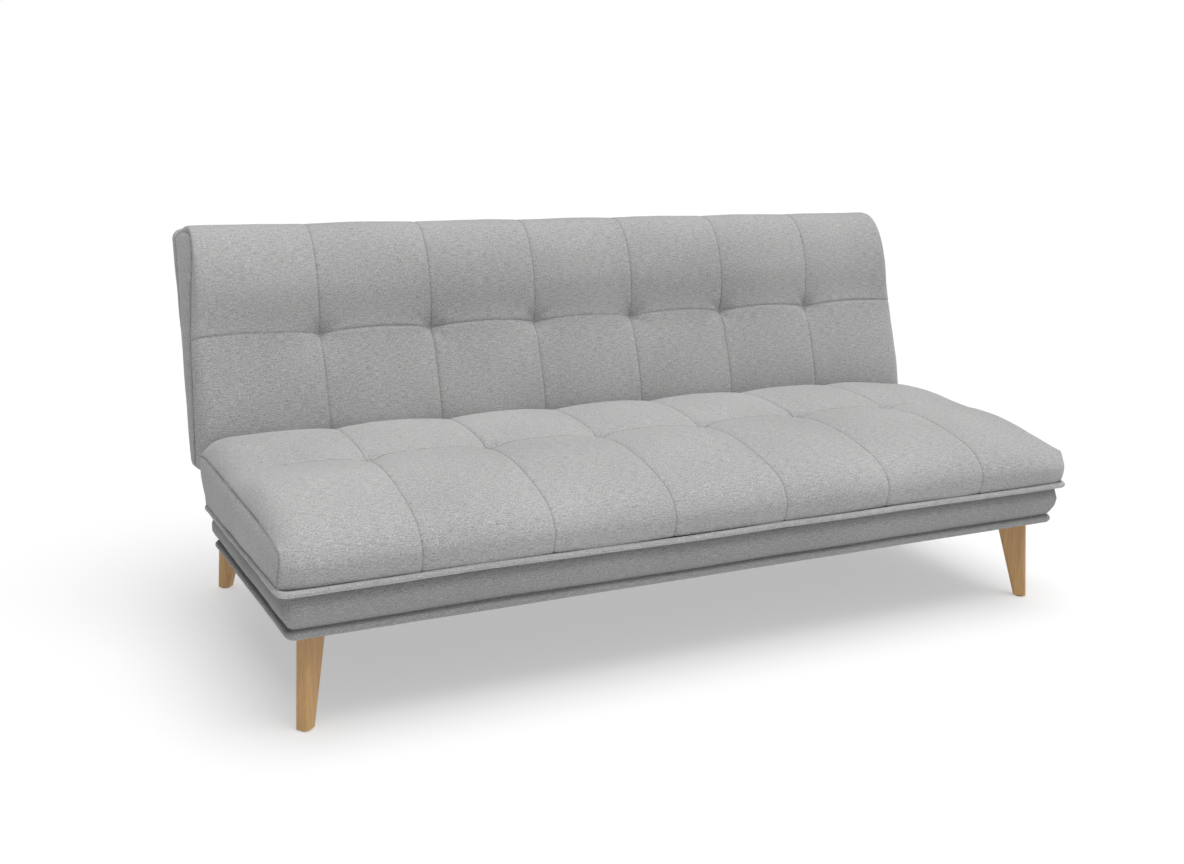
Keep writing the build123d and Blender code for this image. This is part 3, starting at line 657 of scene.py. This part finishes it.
    def tile_height(self, q, s):
        """How far the tufted face stands over its base, and how much its colour is darkened (0 to 1): seam
        lines, and painted shade in the hollow at each tuft.
        """
        nearest = min(TILE_SEAMS, key=lambda seam: abs(q - seam))
        side_distance = self.reach - abs(q)
        row_distance = s - self.tuft_at
        column_distance = q - nearest
        radius = math.hypot(row_distance, column_distance)
        height = self.crown_height(q, s)
        height += self.tuft_height(row_distance, column_distance, radius, PULL_TURN * nearest)
        row_fade = smoothstep(side_distance, *self.row_fade)
        groove, seam_line_and_tuft_shade = (
            max(bell(column_distance, w), bell(row_distance, w) * row_fade, bell(side_distance, w))
            for w in (GROOVE_WIDTH, THREAD_WIDTH)
        )
        # painted shade: the hollow round each tuft is darkened as if in shadow, on top of the seam lines
        seam_line_and_tuft_shade = max(seam_line_and_tuft_shade, 0.8 * bell(radius, TUFT_PAINTED_SHADE))
        slack = 0.0016 * ripple(q * 7, s * 9, 3.1) + 0.0007 * ripple(q * 24, s * 31, 8.2)
        return height - SEAM_GROOVE * groove + slack * (1 - groove), seam_line_and_tuft_shade

    def face_grid(self, columns, rows):
        """Grid of finished face points (unit axes) and their darkening by seam lines and painted tuft shade,
        one row per position along.
        """
        base = [[self.base_point(q, s) for q in columns] for s in rows]
        points, seams = [], []
        for r, s in enumerate(rows):
            point_row, face_seam_and_tuft_shade_row = [], []
            for c, q in enumerate(columns):
                across = base[r][min(c + 1, len(columns) - 1)] - base[r][max(c - 1, 0)]
                along = base[min(r + 1, len(rows) - 1)][c] - base[max(r - 1, 0)][c]
                height, seam = self.tile_height(q, s)
                point_row.append(base[r][c] + across.cross(along).normalized() * height)
                face_seam_and_tuft_shade_row.append(seam)
            points.append(point_row)
            seams.append(face_seam_and_tuft_shade_row)
        return points, seams

    def gusset_point(self, edges, i, j, side):
        """Coons patch between the seam (top), the walls' seams (rear, front) and the piping (foot)."""
        top, rear, front = edges
        a, b = j / (len(top) - 1), i / WALL_STEPS
        foot = rear[-1].lerp(front[-1], a)
        ruled = top[j] * (1 - b) + foot * b + rear[i] * (1 - a) + front[i] * a
        corners = (top[0] * (1 - a) + top[-1] * a) * (1 - b)
        corners += (rear[-1] * (1 - a) + front[-1] * a) * b
        point = ruled - corners
        ends = math.sin(math.pi * a) ** 0.35
        point.x += side * self.bulge * math.sin(math.pi * b**0.8) * ends
        point.x += side * GUSSET_SLACK * ripple(point.y * 14, point.z * 20, side) * ends
        return point

    def gusset_grid(self, edge, side):
        """Grid of points of one side gusset; edge is the face's outermost line of points there."""
        top = edge[WALL_STEPS : len(edge) - WALL_STEPS]
        rear = edge[WALL_STEPS::-1]
        front = edge[len(edge) - 1 - WALL_STEPS :]
        edges = (top, rear, front)
        return [
            [self.gusset_point(edges, i, j, side) for j in range(len(top))]
            for i in range(WALL_STEPS + 1)
        ]

    def build(self):
        """The whole pad as one closed mesh, with its seam lines and the painted shade at its tufts kept in
        the 'seam' attribute.
        """
        columns, rows = self.columns(), self.rows()
        face, seams = self.face_grid(columns, rows)
        grids = Grids()
        grids.add(face, seams, [[(q, s) for q in columns] for s in rows])
        for side, column in ((-1, 0), (1, -1)):
            gusset = self.gusset_grid([row[column] for row in face], side)
            sewn_row = [1.0] * len(gusset[0])
            inner_row = [1.0] + [0.0] * (len(gusset[0]) - 2) + [1.0]
            depth = [sewn_row] + [inner_row] * (len(gusset) - 1)
            grids.add(gusset, depth, [[(p.y, p.z) for p in row] for row in gusset])

        points = [self.unit.point(*p) for p in grids.points]
        piece = mesh_object(f"{self.unit.name}_pad", points, grids.faces, grids.uvs, cover_fabric)
        self.store_seams(piece, grids.points, grids.seam_and_tuft_shades)
        subdivide(piece)
        close_foot(piece)
        return piece

    def store_seams(self, piece, points, seam_and_tuft_shades):
        """Keep how much each point is darkened, by seam lines and painted tuft shade, as an attribute for
        the cover's colour.
        """
        lookup = {}
        for point, depth in zip(points, seam_and_tuft_shades):
            key = tuple(round(c, 4) for c in self.unit.point(*point))
            lookup[key] = max(depth, lookup.get(key, 0.0))
        attribute = piece.data.attributes.new("seam", "FLOAT", "POINT")
        for vertex in piece.data.vertices:
            key = tuple(round(c, 4) for c in vertex.co)
            attribute.data[vertex.index].value = lookup.get(key, 0.0)


def close_foot(piece):
    """Close a pad's open foot with one face."""
    with edited(piece.data) as builder:
        rim = [edge for edge in builder.edges if edge.is_boundary]
        bmesh.ops.holes_fill(builder, edges=rim, sides=0)


def seat_profile():
    """Seat pad's section along a tile seam, from the rear foot over the face to the front foot."""
    (_, near, foot), (_, far, top) = SEAT.box("cover")
    return [
        (near + 0.018, foot),
        (near + 0.012, foot + 0.06),
        (near + 0.007, top - 0.035),
        (near + 0.030, top - 0.008),
        (near + 0.13, top - 0.001),
        (near + 0.276, top - 0.010),
        (far - 0.223, top - 0.011),
        (far - 0.128, top - 0.026),
        (far - 0.055, top - 0.047),
        (far - 0.020, top - 0.069),
        (far - 0.003, top - 0.098),
        (far - 0.005, foot + 0.020),
        (far - 0.011, foot),
    ]


def back_profile():
    """Back pad's section along a tile seam, from the lower foot over the face to the upper foot."""
    (_, near, foot), (_, far, top) = BACK.box("cover")
    return [
        (near + 0.028, foot),
        (near + 0.012, foot + 0.06),
        (near + 0.006, top - 0.035),
        (near + 0.032, top - 0.006),
        (near + 0.12, top + 0.002),
        (near + 0.279, top - 0.008),
        (near + 0.383, top + 0.001),
        (far - 0.078, top - 0.008),
        (far - 0.028, top - 0.034),
        (far - 0.006, top - 0.075),
        (far - 0.004, foot + 0.015),
        (far - 0.008, foot),
    ]


REAR_POINT, TUFT_POINT, BACK_CORNER_POINT = 2, 5, 8  # which of a profile's points these are
SEAT_CORNER = (0.66, -0.017)

seat_curve = seat_profile()
seat_pad = Pad(
    SEAT,
    seat_curve,
    tuft=seat_curve[TUFT_POINT],
    corner=SEAT_CORNER,
    rear=seat_curve[REAR_POINT],
    seam_level=[(0.02, 0.006), (0.06, 0.018), (0.12, 0.023), (0.33, 0.017), (0.52, 0.004), (0.66, -0.015)],
    seam_reach=[(0.08, 0.882), (0.33, 0.882), (0.66, 0.874)],
    crown=0.008,
    tuft_depth=0.014,
    bow=0.0,
    bulge=0.010,
    edge_round=0.062,
    edge_turn=60,
    side_fall=(0.006, 0.023),
    row_fade=(0.05, 0.15),
)
back_curve = back_profile()
back_pad = Pad(
    BACK,
    back_curve,
    tuft=back_curve[TUFT_POINT],
    corner=back_curve[BACK_CORNER_POINT],
    rear=back_curve[REAR_POINT],
    seam_level=[(-0.04, 0.030), (0.24, 0.036), (0.42, 0.034), (0.46, 0.020)],
    seam_reach=[(-0.04, 0.897), (0.24, 0.884), (0.40, 0.867), (0.46, 0.862)],
    crown=0.0055,
    tuft_depth=0.018,
    bow=0.008,
    bulge=0.014,
    edge_round=0.034,
    edge_turn=50,
    side_fall=(0.0, 0.0),
    row_fade=(-0.03, 0.004),
)

for pad in (seat_pad, back_pad):
    pad_piece = pad.build()
    if pad.unit is BACK:
        cut_hinge_slots(pad_piece)
    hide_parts(f"{pad.unit.name}_cover", f"{pad.unit.name}_foam")
    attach(pad_piece, pad.unit.body)


# ------------------------------------------------------------------ piping, bands and welts
LONG_STEPS, SHORT_STEPS, ARC_STEPS = 140, 46, 6  # steps along a loop's long sides, short sides and corners
PIPING_RADIUS = 0.0062


def outline(half, near, far, radii):
    """Closed rounded rectangle as (x, l, outward x, outward l, distance); radii are (near, far)."""
    near_r, far_r = radii
    corners = [
        (half - far_r, far - far_r, far_r, 0),
        (-half + far_r, far - far_r, far_r, 90),
        (-half + near_r, near + near_r, near_r, 180),
        (half - near_r, near + near_r, near_r, 270),
    ]
    places = []
    for cx, cl, radius, start in corners:
        for i in range(ARC_STEPS + 1):
            angle = math.radians(start + 90 * i / ARC_STEPS)
            out = (math.cos(angle), math.sin(angle))
            places.append((cx + radius * out[0], cl + radius * out[1], *out))
    points, distance = [], 0.0
    for index, (a, b) in enumerate(zip(places, places[1:] + places[:1])):
        corner, on_arc = index // (ARC_STEPS + 1), (index + 1) % (ARC_STEPS + 1)
        pieces = 1 if on_arc else (LONG_STEPS, SHORT_STEPS)[corner % 2]
        length = math.dist(a[:2], b[:2])
        for i in range(pieces):
            t = i / pieces
            values = [p + (q - p) * t for p, q in zip(a, b)]
            points.append((*values, distance + length * t))
        distance += length
    return points


def swept(name, unit, loops, section, material, wander):
    """Closed tube of cloth: section points are (blend from the first loop to the second, outward, n).

    Wander is how far the cloth strays from a straight line.
    """
    points, faces, uvs = [], [], []
    girth = [0.0]
    for p, q in zip(section, section[1:] + section[:1]):
        girth.append(girth[-1] + math.dist(p[1:], q[1:]) + 0.012 * abs(p[0] - q[0]))
    for first, second in zip(*loops):
        for blend, out, n in section:
            x, l, out_x, out_l, _ = (p + (q - p) * blend for p, q in zip(first, second))
            drift = ripple(x * 4.3, l * 4.3, 7.7) + 0.4 * ripple(x * 15, l * 15, n * 40)
            sink = ripple(x * 3.1, l * 3.1, 1.9)
            reach = out + wander * drift
            points.append(unit.point(x + out_x * reach, l + out_l * reach, n + wander * sink))
    width, total = len(section), len(loops[0])
    for i in range(total):
        following = (i + 1) % total
        start = loops[0][i][4]
        end = start + math.dist(loops[0][i][:2], loops[0][following][:2])
        for j in range(width):
            corners = ((i, j), (following, j), (following, (j + 1) % width), (i, (j + 1) % width))
            faces.append([row * width + column for row, column in corners])
            low, high = girth[j], girth[j + 1]
            uvs.append([(start, low), (end, low), (end, high), (start, high)])
    return mesh_object(name, points, faces, uvs, material)


def round_section(radius, centre, count=12):
    """Circle of (blend, outward, n) points on the first loop."""
    out, n = centre
    turns = [2 * math.pi * i / count for i in range(count)]
    return [(0, out + radius * math.cos(t), n + radius * math.sin(t)) for t in turns]


def band_section(low, high):
    """Section of a band, (blend, outward, n): tucked under the piping, full in the middle."""
    return [
        (0.0, -0.014, high + 0.005),
        (0.0, -0.0075, high - 0.004),
        (0.0, -0.0045, high - 0.013),
        (0.1, 0.001, high - 0.026),
        (0.4, 0.003, high - 0.042),
        (0.8, 0.001, low + 0.012),
        (1.0, -0.003, low + 0.003),
        (1.0, -0.008, low),
        (1.0, -0.020, low + 0.002),
        (0.5, -0.026, high),
    ]


def welt_section(low, high, tuck):
    """Section of a bottom welt, (blend, outward, n); tuck is how far it reaches up behind the band."""
    return [
        (0, -0.007, high + tuck),
        (0, -0.005, high - 0.001),
        (0, 0.001, high - 0.002),
        (0, 0.004, high - 0.006),
        (0, 0.004, low + 0.005),
        (0, 0.000, low),
        (0, -0.0135, low + 0.001),
        (0, -0.0135, high + tuck),
    ]


def dress(piece, unit, node):
    """Put a finished cloth piece in the place of one of a unit's CAD nodes."""
    if unit is BACK:
        cut_hinge_slots(piece)
    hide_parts(f"{unit.name}_{node}")
    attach(piece, unit.body)


PIPING_CORNERS, BAND_CORNERS, WELT_CORNERS = (0.03, 0.022), (0.03, 0.02), (0.02, 0.014)  # radii (near, far)

for unit in (SEAT, BACK):
    (_, near, _), (half, far, high) = unit.box("piping")
    piping_loop = outline(half, near, far, PIPING_CORNERS)
    section = round_section(PIPING_RADIUS, (-PIPING_RADIUS, high - PIPING_RADIUS))
    loops = (piping_loop, piping_loop)
    piping = swept(f"{unit.name}_piping_cord", unit, loops, section, piping_fabric, wander=0.004)
    dress(piping, unit, "piping")

    (_, near, low), (half, far, high) = unit.box("band_cover")
    band_loop = outline(half, near, far, BAND_CORNERS)
    section = band_section(low, high)
    (_, near, low), (half, far, high) = unit.box("bottom_welt")
    welt_loop = outline(half, near, far, WELT_CORNERS)
    band = swept(f"{unit.name}_band", unit, (band_loop, welt_loop), section, band_fabric, wander=0.0028)
    dress(band, unit, "band_cover")

    section = welt_section(low, high, tuck=0.005 if unit is SEAT else -0.001)
    welt = swept(f"{unit.name}_welt", unit, (welt_loop, welt_loop), section, band_fabric, wander=0.0014)
    dress(welt, unit, "bottom_welt")


# ------------------------------------------------------------------ rear panel of the back
PANEL_ACROSS, PANEL_ALONG = 60, 20  # faces of the panel's grid
PANEL_THICKNESS = 0.0012


def panel(name, unit, node, material, lift):
    """Slightly slack cloth panel over a flat node, and its flat size; lift is how far it bellies."""
    (x0, l0, n0), (x1, l1, _) = unit.box(node)
    points, flat = [], []
    for i in range(PANEL_ALONG + 1):
        for j in range(PANEL_ACROSS + 1):
            a, b = j / PANEL_ACROSS, i / PANEL_ALONG
            x, l = x0 + (x1 - x0) * a, l0 + (l1 - l0) * b
            belly = lift * math.sin(math.pi * a) ** 0.4 * math.sin(math.pi * b) ** 0.6
            wrinkle = 0.0006 * ripple(x * 8, l * 8, 0.3)
            points.append(unit.point(x, l, n0 + belly + wrinkle))
            flat.append((x - x0, l - l0))
    faces = list(grid_faces(PANEL_ACROSS + 1, PANEL_ALONG + 1))
    piece = mesh_object(name, points, faces, [[flat[corner] for corner in face] for face in faces], material)
    thickness = piece.modifiers.new("thickness", "SOLIDIFY")
    thickness.thickness = PANEL_THICKNESS
    thickness.offset = 0
    apply_modifiers(piece)
    return piece, ((points[PANEL_ACROSS] - points[0]).length, l1 - l0)


rear_panel, rear_size = panel("back_rear_cloth", BACK, "rear_panel", rear_fabric, 0.0015)
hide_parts("back_rear_panel")
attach(rear_panel, "backrest")

# ------------------------------------------------------------------ camera, floor and light
CAMERA_PLACE = (-1.2744, -2.4849, 1.0266)
CAMERA_YAW, CAMERA_PITCH, CAMERA_ROLL = (math.radians(a) for a in (25.584, 12.937, 0.571))
FOCAL = 38.5

forward = Vector(
    (
        math.sin(CAMERA_YAW) * math.cos(CAMERA_PITCH),
        math.cos(CAMERA_YAW) * math.cos(CAMERA_PITCH),
        -math.sin(CAMERA_PITCH),
    )
)
level_right = Vector((math.cos(CAMERA_YAW), -math.sin(CAMERA_YAW), 0))
level_up = level_right.cross(forward)
right = level_right * math.cos(CAMERA_ROLL) + level_up * math.sin(CAMERA_ROLL)
up = -level_right * math.sin(CAMERA_ROLL) + level_up * math.cos(CAMERA_ROLL)

camera_data = bpy.data.cameras.new("camera")
camera_data.sensor_width = 36
camera_data.lens = FOCAL
camera_data.shift_x = 0.0014
camera_data.shift_y = -0.0029
camera = add_object("camera", camera_data)
camera.matrix_world = Matrix.Translation(CAMERA_PLACE) @ Matrix((right, up, -forward)).transposed().to_4x4()
bpy.context.scene.camera = camera

FLOOR_REACH = 14
FLOOR_GREY, FLOOR_GLOW = 0.46, 0.46  # part of the floor's white is its own glow, so that shadows stay pale

floor_mesh = bpy.data.meshes.new("floor")
floor_corners = [(x * FLOOR_REACH, y * FLOOR_REACH, 0) for x, y in ((-1, -1), (1, -1), (1, 1), (-1, 1))]
floor_mesh.from_pydata(floor_corners, [], [(0, 1, 2, 3)])
floor_nodes = Nodes("floor")
floor_nodes.shader.inputs["Emission Color"].default_value = (1, 1, 1, 1)
floor_colour = (FLOOR_GREY, FLOOR_GREY, FLOOR_GREY, 1)
floor_paint = floor_nodes.finish(floor_colour, 0.95, emission_strength=FLOOR_GLOW, specular=0.0)
floor_mesh.materials.append(floor_paint)
floor = add_object("floor", floor_mesh)

HORIZON, FLANK, ZENITH = 1.0, 0.12, 0.80  # brightness of the sky at the horizon, half way up and overhead
SKY_STOPS = ((0.11, HORIZON), (0.17, FLANK), (0.55, FLANK), (1.0, ZENITH))  # by the direction's height
LEFT_SHARE = 0.50  # how bright the left of the sky is, in shares of the right
LEFT_END, RIGHT_START = -0.5, 0.0  # the direction's x where the sky stops darkening, and starts to


def studio_sky():
    """A soft sky, brighter overhead and at the horizon, that the camera itself sees as plain white."""
    world = bpy.data.worlds.new("studio")
    bpy.context.scene.world = world
    world.use_nodes = True
    nodes, links = world.node_tree.nodes, world.node_tree.links
    light = nodes["Background"]
    place = nodes.new("ShaderNodeSeparateXYZ")
    links.new(nodes.new("ShaderNodeTexCoord").outputs["Generated"], place.inputs[0])

    tones = nodes.new("ShaderNodeValToRGB")
    elements = tones.color_ramp.elements
    while len(elements) < len(SKY_STOPS):
        elements.new(0.5)
    for element, (position, level) in zip(elements, SKY_STOPS):
        element.position = position
        element.color = (level, level, level, 1)
    links.new(place.outputs[2], tones.inputs[0])
    links.new(tones.outputs[0], light.inputs["Color"])

    sideways = nodes.new("ShaderNodeMapRange")
    sideways.inputs["From Min"].default_value = LEFT_END
    sideways.inputs["From Max"].default_value = RIGHT_START
    sideways.inputs["To Min"].default_value = LEFT_SHARE
    sideways.inputs["To Max"].default_value = 1.0
    links.new(place.outputs[0], sideways.inputs["Value"])
    links.new(sideways.outputs[0], light.inputs["Strength"])

    backdrop = nodes.new("ShaderNodeBackground")
    backdrop.inputs["Color"].default_value = (1, 1, 1, 1)
    seen = nodes.new("ShaderNodeMixShader")
    links.new(nodes.new("ShaderNodeLightPath").outputs["Is Camera Ray"], seen.inputs[0])
    links.new(light.outputs[0], seen.inputs[1])
    links.new(backdrop.outputs[0], seen.inputs[2])
    links.new(seen.outputs[0], nodes["World Output"].inputs["Surface"])


def soft_light(name, towards, strength, softness):
    """Very soft, even light that falls in one direction."""
    data = bpy.data.lights.new(name, "SUN")
    data.energy = strength
    data.angle = math.radians(softness)
    lamp = add_object(name, data)
    lamp.matrix_world = Vector(towards).to_track_quat("-Z", "Y").to_matrix().to_4x4()


studio_sky()
soft_light("overhead", (-0.1, 0.15, -1.0), 2.5, 52)
soft_light("key", (-0.55, 0.75, -0.8), 0.46, 50)

bpy.context.scene.view_settings.view_transform = "Standard"
